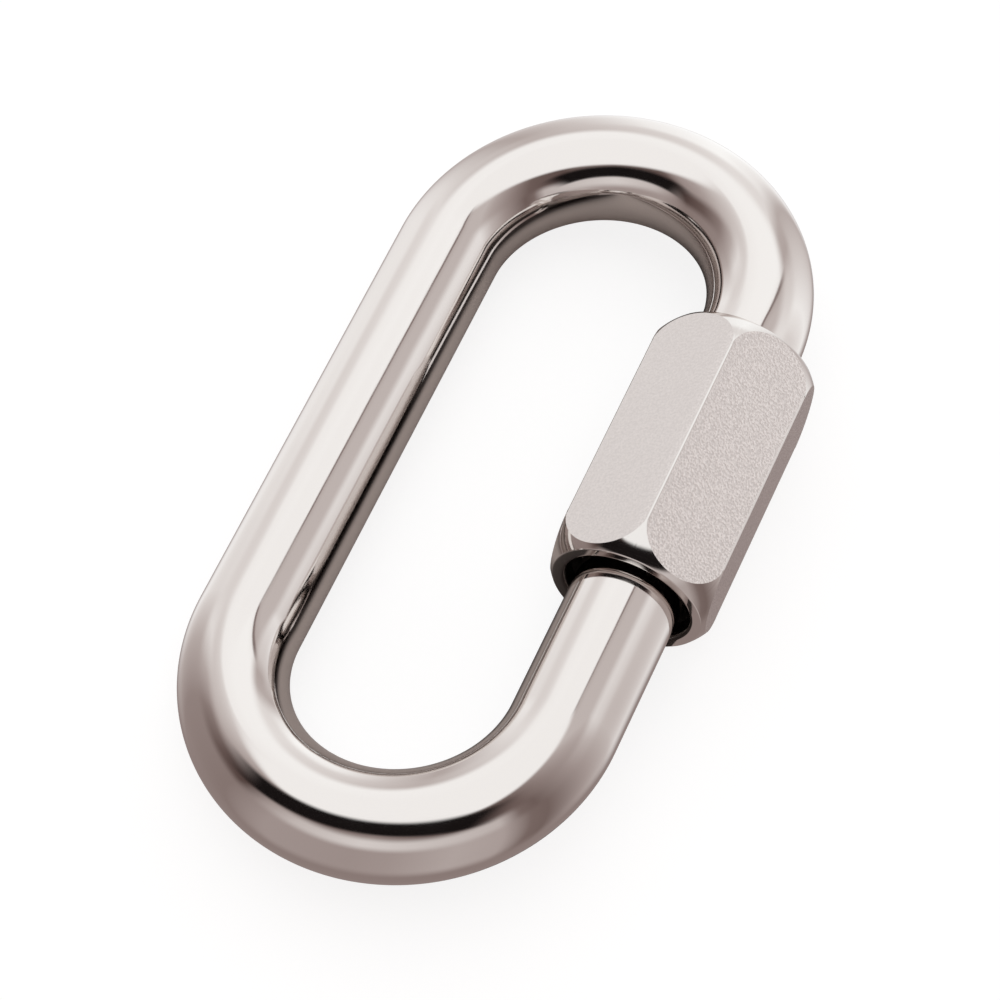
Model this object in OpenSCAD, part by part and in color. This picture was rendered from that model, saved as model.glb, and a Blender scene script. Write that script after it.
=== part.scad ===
// Chain quick link: an oval of round bar with a gate in one limb, closed by a hexagonal sleeve nut.
// It lies as it comes to rest, on one corner of the nut and on the opposite limb.

/* [Bar] */
// Diameter of the round bar
bar_d = 10; // [9:0.5:11]
// Clear width inside the loop
inner_w = 20.5; // [18:0.5:26]
// Length of the straight limbs between the two bends
straight = 44; // [43:0.5:56]

/* [Gate] */
// Opening between the two bar ends
gate = 12; // [10.5:0.5:12.5]
// Length of thread on the upper bar end
upper_thread = 5; // [3.5:0.5:5.5]
// Height of the thread crests above the bar
thread_rise = 0.75; // [0.7:0.05:0.9]
// Pitch of the thread
pitch = 1; // [0.75:0.25:1.25]
// Chamfer on the tips of the bar ends
tip_chamfer = 0.8; // [0.4:0.1:1.2]

/* [Sleeve nut] */
// Size across the flats of the nut
nut_af = 15; // [14.5:0.5:18]
// Length of the nut
nut_len = 27.5; // [26.5:0.5:28]
// Straight bar left between the closed nut and the upper bend
top_margin = 2.25; // [1.5:0.25:3]
// Distance from the flats in to the edge of each end ring
ring_inset = 0.35; // [0.2:0.05:0.45]
// Length over which each corner is rounded off at the nut's ends
corner_len = 4.25; // [3.5:0.25:5]
// Radius of that rounding, seen from the side
corner_round = 6.6; // [6:0.2:9]
// Depth of the recess round the bar at the nut's mouth
recess_depth = 1.75; // [1.5:0.25:2.25]
// Room between the bar and the wall of the recess
recess_room = 1; // [0.85:0.05:1.1]
// Chamfer at the upper end of the nut's thread
lead_in = 0.4; // [0.2:0.1:0.6]

/* [Fits] */
// Radial running clearance between the threaded ends and the nut
thread_clear = 0.06; // [0.04:0.01:0.1]

/* [Hidden] */
$fn = 96;
bar_r = bar_d / 2;
bend_r = (inner_w + bar_d) / 2;
bend_y = straight / 2;

// The thread is drawn plain, at its pitch diameter
pitch_drop = 0.3248 * pitch;
thread_r = bar_r + thread_rise - pitch_drop;
thread_step = thread_r - bar_r;
bore_r = thread_r + thread_clear;
recess_r = bar_r + recess_room;

// Where the closed nut and the bar ends lie along the limb
nut_top = bend_y - top_margin;
nut_bottom = nut_top - nut_len;
upper_tip = nut_top - upper_thread;
lower_tip = upper_tip - gate;
lower_thread = nut_len - upper_thread - gate - recess_depth;

// The nut's corners, and the arc that rounds them off towards each end ring
corner_r = nut_af / sqrt(3);
ring_r = nut_af / 2 - ring_inset;
arc_chord = norm([corner_r - ring_r, corner_len]);
arc_rise = sqrt(pow(corner_round, 2) - pow(arc_chord / 2, 2));
arc_x = (corner_r + ring_r) / 2 - arc_rise * corner_len / arc_chord;
arc_y = corner_len / 2 + arc_rise * (corner_r - ring_r) / arc_chord;

// The lean that brings one corner of the nut and the opposite limb to the ground
lean = asin((corner_r - bar_r) / (2 * bend_r));
side_shift = (bar_r - nut_af / 2) / 2;
mid_height = (bar_r + corner_r) / 2;
limb_x = bend_r * cos(lean) + side_shift;

// Overlap that carries each cut past the face it starts from
cut = 1;

module at_rest() {
    translate([side_shift, 0, mid_height]) rotate([0, -lean, 0]) children();
}

// A round piece turned about the Y axis, from an outline of [radius, y] points
module turned(outline) {
    rotate([-90, 0, 0]) rotate_extrude() polygon(outline);
}

module bend() {
    translate([0, bend_y, 0]) rotate_extrude(angle = 180) translate([bend_r, 0]) circle(r = bar_r);
}

module plain_limb() {
    turned([[0, -bend_y], [bar_r, -bend_y], [bar_r, bend_y], [0, bend_y]]);
}

// Plain bar from the lower bend to a threaded end with a chamfered tip
module threaded_limb(thread_len, tip) {
    thread_start = tip - thread_len;
    chamfer_start = tip - tip_chamfer;
    turned([
        [0, -bend_y],
        [bar_r, -bend_y],
        [bar_r, thread_start - thread_step],
        [thread_r, thread_start],
        [thread_r, chamfer_start],
        [thread_r - tip_chamfer, tip],
        [0, tip]
    ]);
}

module link_body() {
    color([0.84, 0.81, 0.79]) at_rest() {
        translate([-bend_r, 0, 0]) plain_limb();
        bend();
        rotate([0, 0, 180]) bend();
        translate([bend_r, 0, 0]) threaded_limb(lower_thread, lower_tip);
        translate([bend_r, 0, 0]) mirror([0, 1, 0]) threaded_limb(upper_thread, -upper_tip);
    }
}

// Ring that takes the corners off one end of the hexagon
module corner_cut() {
    rotate_extrude() difference() {
        translate([ring_r - cut, -cut]) square([corner_r - ring_r + 2 * cut, arc_y + cut]);
        translate([arc_x, arc_y]) circle(r = corner_round);
    }
}

module sleeve_nut() {
    color([0.78, 0.75, 0.73]) translate([limb_x, nut_bottom, corner_r]) rotate([-90, 0, 0]) difference() {
        linear_extrude(nut_len) rotate(30) circle(r = corner_r, $fn = 6);
        corner_cut();
        translate([0, 0, nut_len]) mirror([0, 0, 1]) corner_cut();
        translate([0, 0, -cut]) cylinder(h = nut_len + 2 * cut, r = bore_r);
        translate([0, 0, -cut]) cylinder(h = recess_depth + cut, r = recess_r);
        translate([0, 0, nut_len - lead_in]) cylinder(h = 2 * lead_in, r1 = bore_r, r2 = bore_r + 2 * lead_in);
    }
}

link_body();
sleeve_nut();
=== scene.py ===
import math

import bmesh
import bpy
from mathutils import Matrix, Vector


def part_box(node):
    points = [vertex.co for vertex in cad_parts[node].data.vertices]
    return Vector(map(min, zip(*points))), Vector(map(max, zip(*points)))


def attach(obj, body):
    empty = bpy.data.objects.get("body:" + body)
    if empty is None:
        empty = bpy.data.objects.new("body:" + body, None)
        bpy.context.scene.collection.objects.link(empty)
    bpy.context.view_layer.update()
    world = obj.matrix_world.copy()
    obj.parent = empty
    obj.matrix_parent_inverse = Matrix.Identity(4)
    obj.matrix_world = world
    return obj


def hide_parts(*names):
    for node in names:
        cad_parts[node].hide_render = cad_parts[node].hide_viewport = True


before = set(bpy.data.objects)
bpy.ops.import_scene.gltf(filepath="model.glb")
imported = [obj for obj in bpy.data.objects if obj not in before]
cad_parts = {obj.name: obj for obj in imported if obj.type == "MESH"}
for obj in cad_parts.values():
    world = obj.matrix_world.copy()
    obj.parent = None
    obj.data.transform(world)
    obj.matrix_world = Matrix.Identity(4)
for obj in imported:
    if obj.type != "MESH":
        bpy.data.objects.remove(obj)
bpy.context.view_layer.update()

# Link body
# One length of round stainless bar, cold bent into an oval and polished all over.
# Its ends are thickened, cut with the same right-hand thread, and face each other across the gate.
MM = 0.001
bar_radius = 5.0 * MM
bar_sides = 128
bend_steps = 128
gate_opening = 12.0 * MM
upper_thread = 5.0 * MM
recess_depth = 1.75 * MM
thread_setback = 0.8 * MM
thread_pitch = 1.0 * MM
thread_root = 5.135 * MM
thread_crest = 5.75 * MM
thread_steps = 128
pitch_points = 16
crest_flat = 0.125  # share of the pitch
root_flat = 0.25  # share of the pitch
tip_face = 4.6 * MM
weld_gap = 0.02 * MM
merge_gap = 0.001 * MM
cut_gap = 0.0001 * MM
collar = 0.3 * MM
bar_sharp = math.radians(40)
polished_colour = (0.82, 0.78, 0.755)
polished_roughness = (0.05, 0.09)
haze_grains = 260
haze_detail = 5
wave_grains = 160
wave_detail = 1
wave_depth = 0.02 * MM
noise_span = (0.3, 0.7)

link_low, link_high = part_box("link_body")
nut_low, nut_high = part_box("sleeve_nut")
far_limb = Vector((link_low.x + bar_radius, 0, link_low.z + bar_radius))
nut_limb = Vector(((nut_low.x + nut_high.x) / 2, 0, (nut_low.z + nut_high.z) / 2))
loop_centre = (far_limb + nut_limb) / 2
bend_radius = (nut_limb - far_limb).length / 2
lean = math.atan2(nut_limb.z - far_limb.z, nut_limb.x - far_limb.x)
bend_y = link_high.y - bar_radius - bend_radius
upper_tip = nut_high.y - upper_thread
upper_start = nut_high.y
lower_tip = upper_tip - gate_opening
lower_start = nut_low.y + recess_depth + thread_setback
ridge_foot = (1 - root_flat) / 2
flank = ridge_foot - crest_flat / 2
at_rest = Matrix.Translation(loop_centre) @ Matrix.Rotation(-lean, 4, "Y")


def tooth(y):
    """Height of the thread's ridge at y, from 0 at the root to 1 at the crest."""
    from_ridge = abs((y / thread_pitch + 0.5) % 1.0 - 0.5)
    return min(max((ridge_foot - from_ridge) / flank, 0.0), 1.0)


def threaded_surface(low, high, root, crest, trimmed=None):
    """A right-hand thread about the Y axis from low to high; trimmed may limit its radius at each y."""
    bm = bmesh.new()
    first = math.floor(low / thread_pitch) - 1
    last = math.ceil(high / thread_pitch) + 1
    chain = []
    for point in range((last - first) * pitch_points + 1):
        y = (first + point / pitch_points) * thread_pitch
        chain.append(bm.verts.new((root + (crest - root) * tooth(y), y, 0)))
    edges = [bm.edges.new(pair) for pair in zip(chain, chain[1:])]
    advance = (0, thread_pitch / thread_steps, 0)
    bmesh.ops.spin(bm, geom=chain + edges, cent=(0, 0, 0), axis=(0, 1, 0), dvec=advance,
                   angle=2 * math.pi, steps=thread_steps, use_duplicate=False)
    bmesh.ops.remove_doubles(bm, verts=bm.verts, dist=merge_gap)
    for y, outward in ((low, -1), (high, 1)):
        bmesh.ops.bisect_plane(bm, geom=bm.verts[:] + bm.edges[:] + bm.faces[:], dist=cut_gap,
                               plane_co=(0, y, 0), plane_no=(0, outward, 0), clear_outer=True)
    if trimmed:
        for vert in bm.verts:
            radius = math.hypot(vert.co.x, vert.co.z)
            factor = trimmed(radius, vert.co.y) / radius
            vert.co.x *= factor
            vert.co.z *= factor
    return bm


def add_moved(bm, part, matrix):
    """Moves a part by a matrix and adds it to bm."""
    bmesh.ops.transform(part, matrix=matrix, verts=part.verts)
    held = bpy.data.meshes.new("held")
    part.to_mesh(held)
    part.free()
    bm.from_mesh(held)
    bpy.data.meshes.remove(held)


def open_edges(bm, y, side=0):
    """Boundary edges within two weld gaps of y, on one side of the loop if side is given."""
    return [e for e in bm.edges if e.is_boundary
            and all(abs(v.co.y - y) < 2 * weld_gap and v.co.x * side >= 0 for v in e.verts)]


def stretched(bm, edges, offset):
    """Extrudes a ring of edges straight and returns the new ring."""
    made = bmesh.ops.extrude_edge_only(bm, edges=edges)["geom"]
    verts = [g for g in made if isinstance(g, bmesh.types.BMVert)]
    bmesh.ops.translate(bm, vec=offset, verts=verts)
    return [g for g in made if isinstance(g, bmesh.types.BMEdge) and all(v in verts for v in g.verts)]


def bent(bm, edges, centre):
    """Carries a ring of edges half a turn clockwise round a bend and returns the new ring."""
    made = bmesh.ops.spin(bm, geom=edges, cent=centre, axis=(0, 0, 1), angle=-math.pi,
                          steps=bend_steps, use_duplicate=False)["geom_last"]
    return [g for g in made if isinstance(g, bmesh.types.BMEdge)]


def lower_trim(radius, y):
    """The lower thread runs out towards the bar and is chamfered at its tip."""
    return min(radius, bar_radius + (y - lower_start), tip_face + (lower_tip - y))


def upper_trim(radius, y):
    """The same for the upper thread, which points down."""
    return min(radius, bar_radius + (upper_start - y), tip_face + (y - upper_tip))


bar = bmesh.new()
across_limb = Matrix.Rotation(math.pi / 2, 4, "X")
on_limb = Matrix.Translation((bend_radius, 0, 0))
bmesh.ops.create_circle(bar, segments=bar_sides, radius=bar_radius,
                        matrix=Matrix.Translation((bend_radius, lower_start - weld_gap, 0)) @ across_limb)
ring = stretched(bar, bar.edges[:], (0, -collar, 0))
ring = stretched(bar, ring, (0, collar + weld_gap - lower_start - bend_y, 0))
ring = bent(bar, ring, (0, -bend_y, 0))
ring = stretched(bar, ring, (0, 2 * bend_y, 0))
ring = bent(bar, ring, (0, bend_y, 0))
ring = stretched(bar, ring, (0, upper_start + weld_gap + collar - bend_y, 0))
stretched(bar, ring, (0, -collar, 0))
add_moved(bar, threaded_surface(lower_start, lower_tip, thread_root, thread_crest, lower_trim), on_limb)
add_moved(bar, threaded_surface(upper_tip, upper_start, thread_root, thread_crest, upper_trim), on_limb)
for tip in (lower_tip, upper_tip):
    bmesh.ops.edgeloop_fill(bar, edges=open_edges(bar, tip, side=1))
for start in (lower_start, upper_start):
    bmesh.ops.bridge_loops(bar, edges=open_edges(bar, start, side=1))
bmesh.ops.recalc_face_normals(bar, faces=bar.faces)
bmesh.ops.transform(bar, matrix=at_rest, verts=bar.verts)


def surface(name, colour, metallic=1.0):
    """A material of one colour, bare metal unless told otherwise, with its node tree and its shader."""
    material = bpy.data.materials.new(name)
    material.use_nodes = True
    shader = material.node_tree.nodes["Principled BSDF"]
    shader.inputs["Base Color"].default_value = (*colour, 1)
    shader.inputs["Metallic"].default_value = metallic
    return material, material.node_tree, shader


def speckle(tree, scale, detail):
    """Noise fixed to the piece, with about scale grains to the metre."""
    place = tree.nodes.new("ShaderNodeTexCoord")
    noise = tree.nodes.new("ShaderNodeTexNoise")
    noise.inputs["Scale"].default_value = scale
    noise.inputs["Detail"].default_value = detail
    tree.links.new(place.outputs["Object"], noise.inputs["Vector"])
    return noise.outputs["Fac"]


def ranged(tree, value, low, high, start=0.0, end=1.0, smooth=False):
    """A value brought from one range into another."""
    node = tree.nodes.new("ShaderNodeMapRange")
    node.interpolation_type = "SMOOTHSTEP" if smooth else "LINEAR"
    node.inputs["From Min"].default_value = low
    node.inputs["From Max"].default_value = high
    node.inputs["To Min"].default_value = start
    node.inputs["To Max"].default_value = end
    tree.links.new(value, node.inputs["Value"])
    return node.outputs["Result"]


def roughened(tree, shader, noise, roughness):
    """Carries the roughness from its low to its high value over the middle span of a noise."""
    tree.links.new(ranged(tree, noise, *noise_span, *roughness), shader.inputs["Roughness"])


def dented(tree, shader, height, depth):
    """Bumps the surface by a height from 0 to 1, of a real depth."""
    bump = tree.nodes.new("ShaderNodeBump")
    bump.inputs["Distance"].default_value = depth
    tree.links.new(height, bump.inputs["Height"])
    tree.links.new(bump.outputs["Normal"], shader.inputs["Normal"])


def finished(name, bm, materials, sharp_angle):
    """Makes the object, with smooth faces and edges kept sharp past an angle."""
    mesh = bpy.data.meshes.new(name)
    bm.to_mesh(mesh)
    bm.free()
    mesh.shade_smooth()
    mesh.set_sharp_from_angle(angle=sharp_angle)
    piece = bpy.data.objects.new(name, mesh)
    bpy.context.collection.objects.link(piece)
    for material in materials:
        mesh.materials.append(material)
    return piece


polished_steel, tree, shader = surface("polished_steel", polished_colour)
roughened(tree, shader, speckle(tree, haze_grains, haze_detail), polished_roughness)
dented(tree, shader, speckle(tree, wave_grains, wave_detail), wave_depth)

link_body = finished("link_body_bar", bar, [polished_steel], bar_sharp)
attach(link_body, "link")
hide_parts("link_body")

# Sleeve nut
# A long nut turned from hexagonal stainless bar: the ends are rounded off and bored on a lathe,
# the six flats are bead-blasted, and the thread inside matches the bar ends.
flat_reach = (nut_high.x - nut_low.x) / 2
nut_length = nut_high.y - nut_low.y
corner_reach = flat_reach / math.cos(math.pi / 6)
ring_inset = 0.35 * MM
ring_radius = flat_reach - ring_inset
corner_length = 4.25 * MM
corner_round = 6.6 * MM
recess_radius = 6.0 * MM
mouth_round = 0.4 * MM
mouth_steps = 9
rim_width = 0.08 * MM
rim_height = 0.062 * MM
rim_middle = (0.007 * MM, 0.016 * MM)  # in from the ring, up from the end
lead_in = 0.9 * MM
nut_minor = 5.21 * MM
nut_major = 5.80 * MM
edge_round = 0.2 * MM
edge_segments = 4
flat_steps = 64
corner_rows = 20
flat_tilt = 0.001  # largest Y part of a flat's normal
corner_turn = 0.5  # radians
nut_sharp = math.radians(12)
blasted_colour = (0.95, 0.905, 0.88)
pit_colour = (0.75, 0.71, 0.69)
blasted_roughness = 0.24
grit_grains = 4500
grit_detail = 2
grit_span = (0.35, 0.65)
grit_depth = 0.011 * MM
left_pit_share = 0.3
right_pit_share = 1.0
pit_share_change = 1.0 * MM
turned_colour = (0.80, 0.765, 0.74)
turned_roughness = (0.05, 0.11)
tool_mark_grains = 9000
tool_mark_detail = 2
# The bore's colour is nearly black: painted shade inside the recess, not the steel's own colour
bore_shade_colour = (0.06, 0.055, 0.052)
bored_roughness = (0.28, 0.45)
bored_grains = 1500
bored_detail = 3

chord = math.hypot(corner_reach - ring_radius, corner_length)
chord_height = math.sqrt(corner_round ** 2 - (chord / 2) ** 2)
arc_x = (corner_reach + ring_radius) / 2 - chord_height * corner_length / chord
arc_y = corner_length / 2 + chord_height * (corner_reach - ring_radius) / chord
inside_low = recess_depth + (recess_radius - nut_minor)
inside_high = nut_length - lead_in


def turned_radius(y):
    """Radius of the rounded end at a height above the end ring."""
    return arc_x + math.sqrt(corner_round ** 2 - (arc_y - y) ** 2)


outline = [(nut_minor, inside_low - weld_gap), (recess_radius, recess_depth)]
for step in range(mouth_steps + 1):
    angle = math.pi / 2 * step / mouth_steps
    radius = recess_radius + mouth_round * (1 - math.cos(angle))
    outline.append((radius, mouth_round * (1 - math.sin(angle))))
end = [(ring_radius - rim_width, 0), (ring_radius - rim_middle[0], rim_middle[1])]
for row in range(corner_rows + 1):
    y = rim_height + (corner_length - rim_height) * row / corner_rows
    end.append((turned_radius(y), y))
outline += end + [(radius, nut_length - y) for radius, y in reversed(end)]
outline += [(nut_minor + lead_in, nut_length), (nut_minor, inside_high + weld_gap)]

nut = bmesh.new()
chain = [nut.verts.new((radius, y, 0)) for radius, y in outline]
edges = [nut.edges.new(pair) for pair in zip(chain, chain[1:])]
bmesh.ops.spin(nut, geom=chain + edges, cent=(0, 0, 0), axis=(0, 1, 0), angle=2 * math.pi,
               steps=6 * flat_steps, use_merge=True, use_duplicate=False)

# Each point of the turned blank is drawn in to the flat below it
for vert in nut.verts:
    upper = vert.co.y > nut_length / 2
    from_end = nut_length - vert.co.y if upper else vert.co.y
    if math.hypot(vert.co.x, vert.co.z) < ring_radius - weld_gap or from_end < rim_height:
        continue
    angle = math.atan2(vert.co.z, vert.co.x)
    off_flat = (angle + math.pi / 6) % (math.pi / 3) - math.pi / 6
    reach = flat_reach / math.cos(off_flat)
    meet = arc_y - math.sqrt(corner_round ** 2 - (reach - arc_x) ** 2)
    from_end = rim_height + (from_end - rim_height) * (meet - rim_height) / (corner_length - rim_height)
    reach = turned_radius(from_end)
    y = nut_length - from_end if upper else from_end
    vert.co = (reach * math.cos(angle), y, reach * math.sin(angle))

# Face materials: 0 blasted flats, 1 turned ends, worn edges and thread, 2 the bored recess, whose
# near-black colour is painted shade
nut.normal_update()
for face in nut.faces:
    centre = face.calc_center_median()
    out = math.hypot(centre.x, centre.z)
    on_flat = abs(face.normal.y) < flat_tilt and out > ring_radius
    inside = out < recess_radius and 0 < centre.y < nut_length - lead_in / 2
    face.material_index = 0 if on_flat else 2 if inside else 1
corners = [e for e in nut.edges if e.calc_face_angle(0) > corner_turn
           and all(f.material_index == 0 for f in e.link_faces)]
worn = bmesh.ops.bevel(nut, geom=corners, offset=edge_round, segments=edge_segments, profile=0.5,
                       material=-1, affect="EDGES", clamp_overlap=True)["faces"]
for face in worn:
    face.material_index = 1

inner = threaded_surface(nut_low.y + inside_low, nut_low.y + inside_high, nut_minor, nut_major)
for face in inner.faces:
    face.material_index = 1
add_moved(nut, inner, Matrix.Translation((0, -nut_low.y, 0)))
for level in (inside_low, inside_high):
    bmesh.ops.bridge_loops(nut, edges=open_edges(nut, level))
bmesh.ops.remove_doubles(nut, verts=nut.verts, dist=merge_gap)
bmesh.ops.recalc_face_normals(nut, faces=nut.faces)
# On a ring the wrong side can be taken for the outside, so the volume's sign decides
if nut.calc_volume(signed=True) < 0:
    bmesh.ops.reverse_faces(nut, faces=nut.faces)
bmesh.ops.translate(nut, vec=nut_limb + Vector((0, nut_low.y, 0)), verts=nut.verts)


def worked(tree, operation, first, second):
    """The value of a Math node, or of a Vector Math node where first is a vector."""
    vectors = operation in ("DOT_PRODUCT", "LENGTH")
    node = tree.nodes.new("ShaderNodeVectorMath" if vectors else "ShaderNodeMath")
    node.operation = operation
    for socket, value in zip(node.inputs, (first, second)):
        if isinstance(value, bpy.types.NodeSocket):
            tree.links.new(value, socket)
        else:
            socket.default_value = value
    return node.outputs["Value"]


def mixed(tree, share, first, second):
    """Two colours mixed by a share of the second."""
    node = tree.nodes.new("ShaderNodeMixRGB")
    tree.links.new(share, node.inputs["Fac"])
    for colour, socket in ((first, "Color1"), (second, "Color2")):
        if isinstance(colour, bpy.types.NodeSocket):
            tree.links.new(colour, node.inputs[socket])
        else:
            node.inputs[socket].default_value = colour
    return node.outputs["Color"]


blasted_steel, tree, shader = surface("blasted_steel", blasted_colour)
shader.inputs["Roughness"].default_value = blasted_roughness
place = tree.nodes.new("ShaderNodeTexCoord")
split = tree.nodes.new("ShaderNodeSeparateXYZ")
tree.links.new(place.outputs["Object"], split.inputs["Vector"])
# The dark pits, and their bump, grow stronger from the nut's left side to its right side
pit_share_by_side = ranged(tree, split.outputs["X"], nut_limb.x - pit_share_change, nut_limb.x + pit_share_change,
                left_pit_share, right_pit_share)
grit = ranged(tree, speckle(tree, grit_grains, grit_detail), *grit_span)
peaks = worked(tree, "MULTIPLY", grit, pit_share_by_side)
tree.links.new(mixed(tree, peaks, (*pit_colour, 1), (*blasted_colour, 1)), shader.inputs["Base Color"])
dented(tree, shader, peaks, grit_depth)

turned_steel, tree, shader = surface("turned_steel", turned_colour)
place = tree.nodes.new("ShaderNodeTexCoord")
about_axis = tree.nodes.new("ShaderNodeMapping")
about_axis.inputs["Location"].default_value = (-nut_limb.x, 0, -nut_limb.z)
about_axis.inputs["Scale"].default_value = (1, 0, 1)
split = tree.nodes.new("ShaderNodeSeparateXYZ")
tree.links.new(place.outputs["Object"], about_axis.inputs["Vector"])
tree.links.new(place.outputs["Object"], split.inputs["Vector"])
from_axis = worked(tree, "LENGTH", about_axis.outputs["Vector"], (0, 0, 0))
tool_marks = tree.nodes.new("ShaderNodeTexNoise")
tool_marks.noise_dimensions = "1D"
tool_marks.inputs["Scale"].default_value = tool_mark_grains
tool_marks.inputs["Detail"].default_value = tool_mark_detail
tree.links.new(worked(tree, "ADD", from_axis, split.outputs["Y"]), tool_marks.inputs["W"])
roughened(tree, shader, tool_marks.outputs["Fac"], turned_roughness)

# Steel inside the bore, painted nearly black as painted shade
shaded_bore_steel, tree, shader = surface("shaded_bore_steel", bore_shade_colour)
roughened(tree, shader, speckle(tree, bored_grains, bored_detail), bored_roughness)

nut_finishes = [blasted_steel, turned_steel, shaded_bore_steel]
sleeve_nut = finished("sleeve_nut_hexagon", nut, nut_finishes, nut_sharp)
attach(sleeve_nut, "nut")
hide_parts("sleeve_nut")

# Floor
# A white sheet that glows a little, as on a light table. The bar doesn't mirror the sheet:
# inside the loop it mirrors a table patch under the sheet, darkened towards the nut's side by painted
# shade, and elsewhere the tent.
floor_size = 40.0
sheet_colour = (0.30, 0.30, 0.30)
sheet_glow = 0.82
matt_roughness = 0.9
matt_gloss = 0.1
table_colour = (0.54, 0.48, 0.455)
shade_colour = (0.08, 0.068, 0.064)
table_lift = 0.01 * MM
patch_radius = 16.0 * MM
patch_shift = 3.5 * MM
patch_sides = 64
shade_start = loop_centre.x - 3 * MM
shade_end = loop_centre.x + 8 * MM


def matt(name, bm, colour, glow):
    """A flat matt piece of the stage."""
    material, tree, shader = surface(name, colour, metallic=0)
    shader.inputs["Roughness"].default_value = matt_roughness
    shader.inputs["Specular IOR Level"].default_value = matt_gloss
    shader.inputs["Emission Color"].default_value = (1, 1, 1, 1)
    shader.inputs["Emission Strength"].default_value = glow
    piece = finished(name, bm, [material], math.pi)
    return piece


sheet = bmesh.new()
bmesh.ops.create_grid(sheet, x_segments=1, y_segments=1, size=floor_size / 2)
white_sheet = matt("white_sheet", sheet, sheet_colour, sheet_glow)
white_sheet.visible_glossy = False

patch = bmesh.new()
bmesh.ops.create_circle(patch, segments=patch_sides, radius=patch_radius, cap_ends=True,
                        matrix=Matrix.Translation((loop_centre.x + patch_shift, 0, table_lift)))
for side in (-1, 1):
    half = [v for v in patch.verts if v.co.y * side > weld_gap]
    bmesh.ops.translate(patch, vec=(0, side * bend_y, 0), verts=half)
shaded_table = matt("shaded_table", patch, table_colour, 0)
shaded_table.visible_camera = False
shaded_table.visible_diffuse = False
shaded_table.visible_shadow = False
tree = shaded_table.data.materials[0].node_tree
place = tree.nodes.new("ShaderNodeTexCoord")
split = tree.nodes.new("ShaderNodeSeparateXYZ")
tree.links.new(place.outputs["Object"], split.inputs["Vector"])
# Painted shade: the table darkens towards the nut's side, where the link's shadow falls
to_shade = ranged(tree, split.outputs["X"], shade_start, shade_end, smooth=True)
shade = mixed(tree, to_shade, (*table_colour, 1), (*shade_colour, 1))
tree.links.new(shade, tree.nodes["Principled BSDF"].inputs["Base Color"])

# Light
# A white cloth tent, brightest above and behind the link, with a long dark card in front round
# the camera. Each wall lists its brightness at angles in degrees round the link, with 0 at the back.
roof_bright = 1.05
roof_axis = (-0.09, 0, 0.996)
ground_bright = 0.30
high_wall = ((-180, 0.30), (-140, 0.12), (-128, 0.14), (-116, 0.38), (-100, 0.47), (-84, 0.62),
             (-68, 0.74), (-60, 0.82), (-53, 1.04), (-30, 1.08), (14, 1.09), (22.5, 1.04), (24.5, 0.22),
             (27, 0.22), (29, 0.55), (38, 0.62), (56, 0.62), (68, 0.50), (92, 0.31), (108, 0.18),
             (142, 0.12), (180, 0.30))
mid_wall = ((-180, 0.78), (-150, 0.64), (-136, 0.42), (-124, 0.10), (-108, 0.16), (-92, 0.30),
            (-80, 0.55), (-70, 0.90), (-60, 0.82), (-52, 0.90), (-36, 0.59), (-24, 0.80), (-8, 0.92),
            (4, 0.88), (13, 0.56), (21, 0.52), (30, 0.75), (56, 0.93), (70, 0.60), (84, 0.40),
            (104, 0.18), (112, 0.22), (121, 0.60), (180, 0.78))
low_wall = ((-180, 0.40), (-145, 0.42), (-125, 0.28), (-92, 0.34), (-76, 0.56), (-67, 0.80),
            (-60, 1.00), (-51, 0.90), (-37, 0.52), (-28, 0.74), (-18, 1.05), (-6, 1.15), (4, 0.98),
            (12, 0.55), (26, 0.74), (45, 1.02), (55, 0.88), (64, 0.64), (80, 0.44), (100, 0.20),
            (108, 0.22), (120, 0.48), (140, 0.52), (165, 0.42), (180, 0.40))
ground_to_low = (math.radians(-60), math.radians(-35))
low_to_mid = (math.radians(7), math.radians(22))
mid_to_high = (math.radians(28), math.radians(42))
high_to_roof = (math.cos(math.radians(34)), math.cos(math.radians(28)))
cloth_warmth = (1.18, 1.22)
card_distance = 260 * MM
card_axis = Vector((-0.0537, 0.6133, 0.7880))
card_low = -0.04  # along its axis, in card distances
card_high = 0.54
card_left = math.radians(-58)
card_right = math.radians(47)
card_steps = 32
card_colour = (0.01, 0.008, 0.008)
card_fades = {"low": 0.06, "high": 0.36, "left": -0.62, "right": 0.50}


def warm(bright):
    """The cloth's colour at a brightness: white where it is lit, browner where it is in shade."""
    green, blue = cloth_warmth
    return (bright, bright ** green, bright ** blue, 1)


def cloth_round(tree, turn, stops):
    """A strip of cloth all the way round the link."""
    node = tree.nodes.new("ShaderNodeValToRGB")
    elements = node.color_ramp.elements
    for angle, _ in stops[1:-1]:
        elements.new((angle + 180) / 360)
    for element, (angle, bright) in zip(elements, stops):
        element.position = (angle + 180) / 360
        element.color = warm(bright)
    tree.links.new(turn, node.inputs["Fac"])
    return node.outputs["Color"]


tent = bpy.data.worlds.new("tent")
tent.use_nodes = True
tree = tent.node_tree
way = tree.nodes.new("ShaderNodeTexCoord").outputs["Generated"]
split = tree.nodes.new("ShaderNodeSeparateXYZ")
tree.links.new(way, split.inputs["Vector"])
rise = worked(tree, "ARCSINE", split.outputs["Z"], 0)
turn = ranged(tree, worked(tree, "ARCTAN2", split.outputs["X"], split.outputs["Y"]), -math.pi, math.pi)
to_low = ranged(tree, rise, *ground_to_low, smooth=True)
to_mid = ranged(tree, rise, *low_to_mid, smooth=True)
to_high = ranged(tree, rise, *mid_to_high, smooth=True)
up = worked(tree, "DOT_PRODUCT", way, roof_axis)
to_roof = ranged(tree, up, *high_to_roof, smooth=True)
cloth = mixed(tree, to_mid, cloth_round(tree, turn, low_wall), cloth_round(tree, turn, mid_wall))
cloth = mixed(tree, to_low, warm(ground_bright), cloth)
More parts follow.
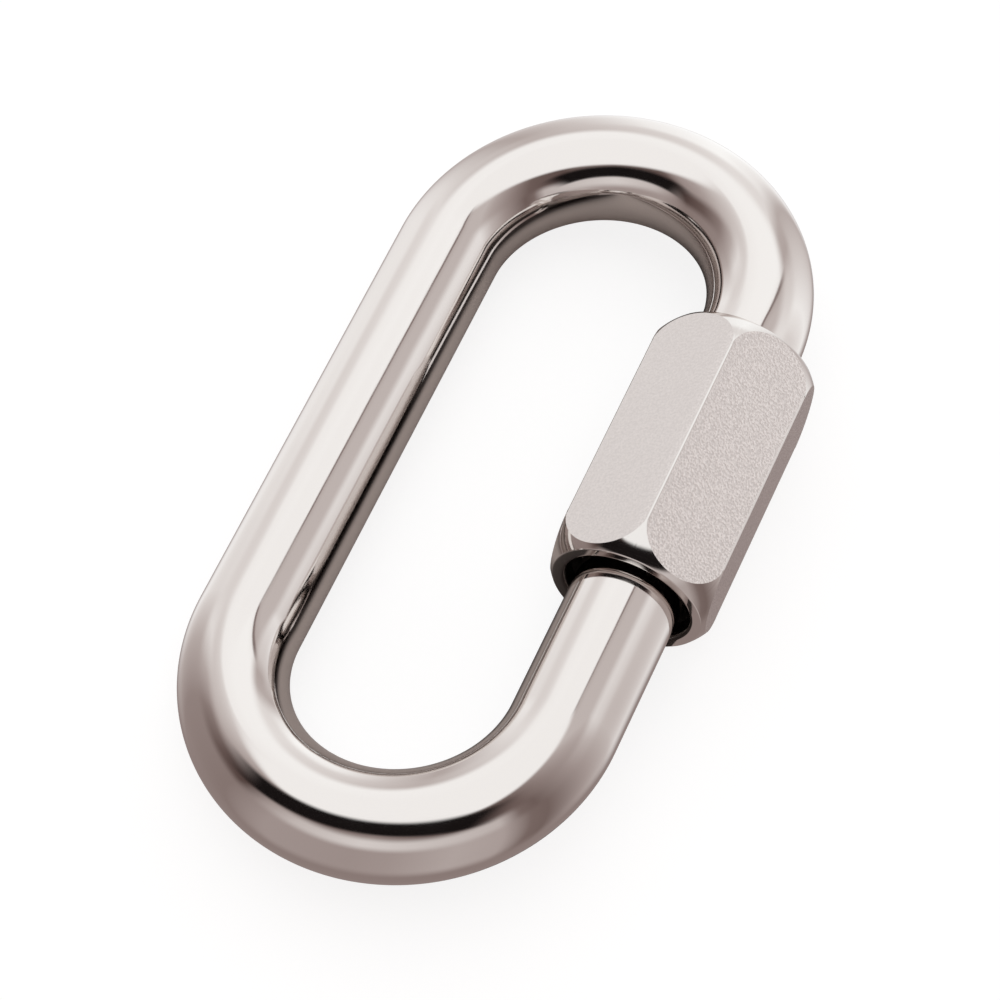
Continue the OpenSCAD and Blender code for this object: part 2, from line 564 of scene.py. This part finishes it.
cloth = mixed(tree, to_high, cloth, cloth_round(tree, turn, high_wall))
cloth = mixed(tree, to_roof, cloth, warm(roof_bright))
tree.links.new(cloth, tree.nodes["Background"].inputs["Color"])
bpy.context.scene.world = tent
bpy.context.scene.view_settings.view_transform = "Standard"

card = bmesh.new()
front = card_axis.cross((1, 0, 0)).normalized()
across = front.cross(card_axis)
ends = [card.verts.new(loop_centre + card_distance * (card_axis * level - front))
        for level in (card_low, card_high)]
edge = card.edges.new(ends)
bmesh.ops.rotate(card, cent=loop_centre, matrix=Matrix.Rotation(card_left, 3, card_axis), verts=ends)
bmesh.ops.spin(card, geom=ends + [edge], cent=loop_centre, axis=card_axis, angle=card_right - card_left,
               steps=card_steps, use_duplicate=False)
black_card, tree, shader = surface("black_card", card_colour, metallic=0)
shader.inputs["Roughness"].default_value = 1
shader.inputs["Specular IOR Level"].default_value = 0
place = tree.nodes.new("ShaderNodeTexCoord")
offset = tree.nodes.new("ShaderNodeMapping")
offset.inputs["Location"].default_value = -loop_centre
tree.links.new(place.outputs["Object"], offset.inputs["Vector"])
along = worked(tree, "DOT_PRODUCT", offset.outputs["Vector"], card_axis / card_distance)
lower_edge = ranged(tree, along, card_low, card_fades["low"], smooth=True)
upper_edge = ranged(tree, along, card_fades["high"], card_high, 1, 0, smooth=True)
sideways = worked(tree, "DOT_PRODUCT", offset.outputs["Vector"], across / card_distance)
left_end = ranged(tree, sideways, math.sin(card_left), card_fades["left"], smooth=True)
right_end = ranged(tree, sideways, card_fades["right"], math.sin(card_right), 1, 0, smooth=True)
height = worked(tree, "MULTIPLY", lower_edge, upper_edge)
length = worked(tree, "MULTIPLY", left_end, right_end)
tree.links.new(worked(tree, "MULTIPLY", height, length), shader.inputs["Alpha"])
dark_card = finished("dark_card", card, [black_card], math.pi)
dark_card.visible_camera = False
dark_card.visible_diffuse = False
dark_card.visible_shadow = False

# Camera
# A long lens above the front right, turned so that the link runs from lower left to upper right.
# Its aim is the middle of the picture.
camera_azimuth = math.radians(20.2)
camera_elevation = math.radians(59.41)
camera_roll = math.radians(3.74)
camera_distance = 363.4 * MM
camera_aim = Vector((-0.73, -2.03, 6.83)) * MM
lens = bpy.data.cameras.new("camera")
lens.sensor_width = 36
lens.lens = 144.2
lens.clip_start = 0.01
camera = bpy.data.objects.new("camera", lens)
bpy.context.collection.objects.link(camera)
turn = Matrix.Rotation(camera_azimuth, 4, "Z") @ Matrix.Rotation(math.pi / 2 - camera_elevation, 4, "X")
back = turn @ Vector((0, 0, camera_distance))
camera.matrix_world = Matrix.Translation(camera_aim + back) @ turn @ Matrix.Rotation(camera_roll, 4, "Z")
bpy.context.scene.camera = camera
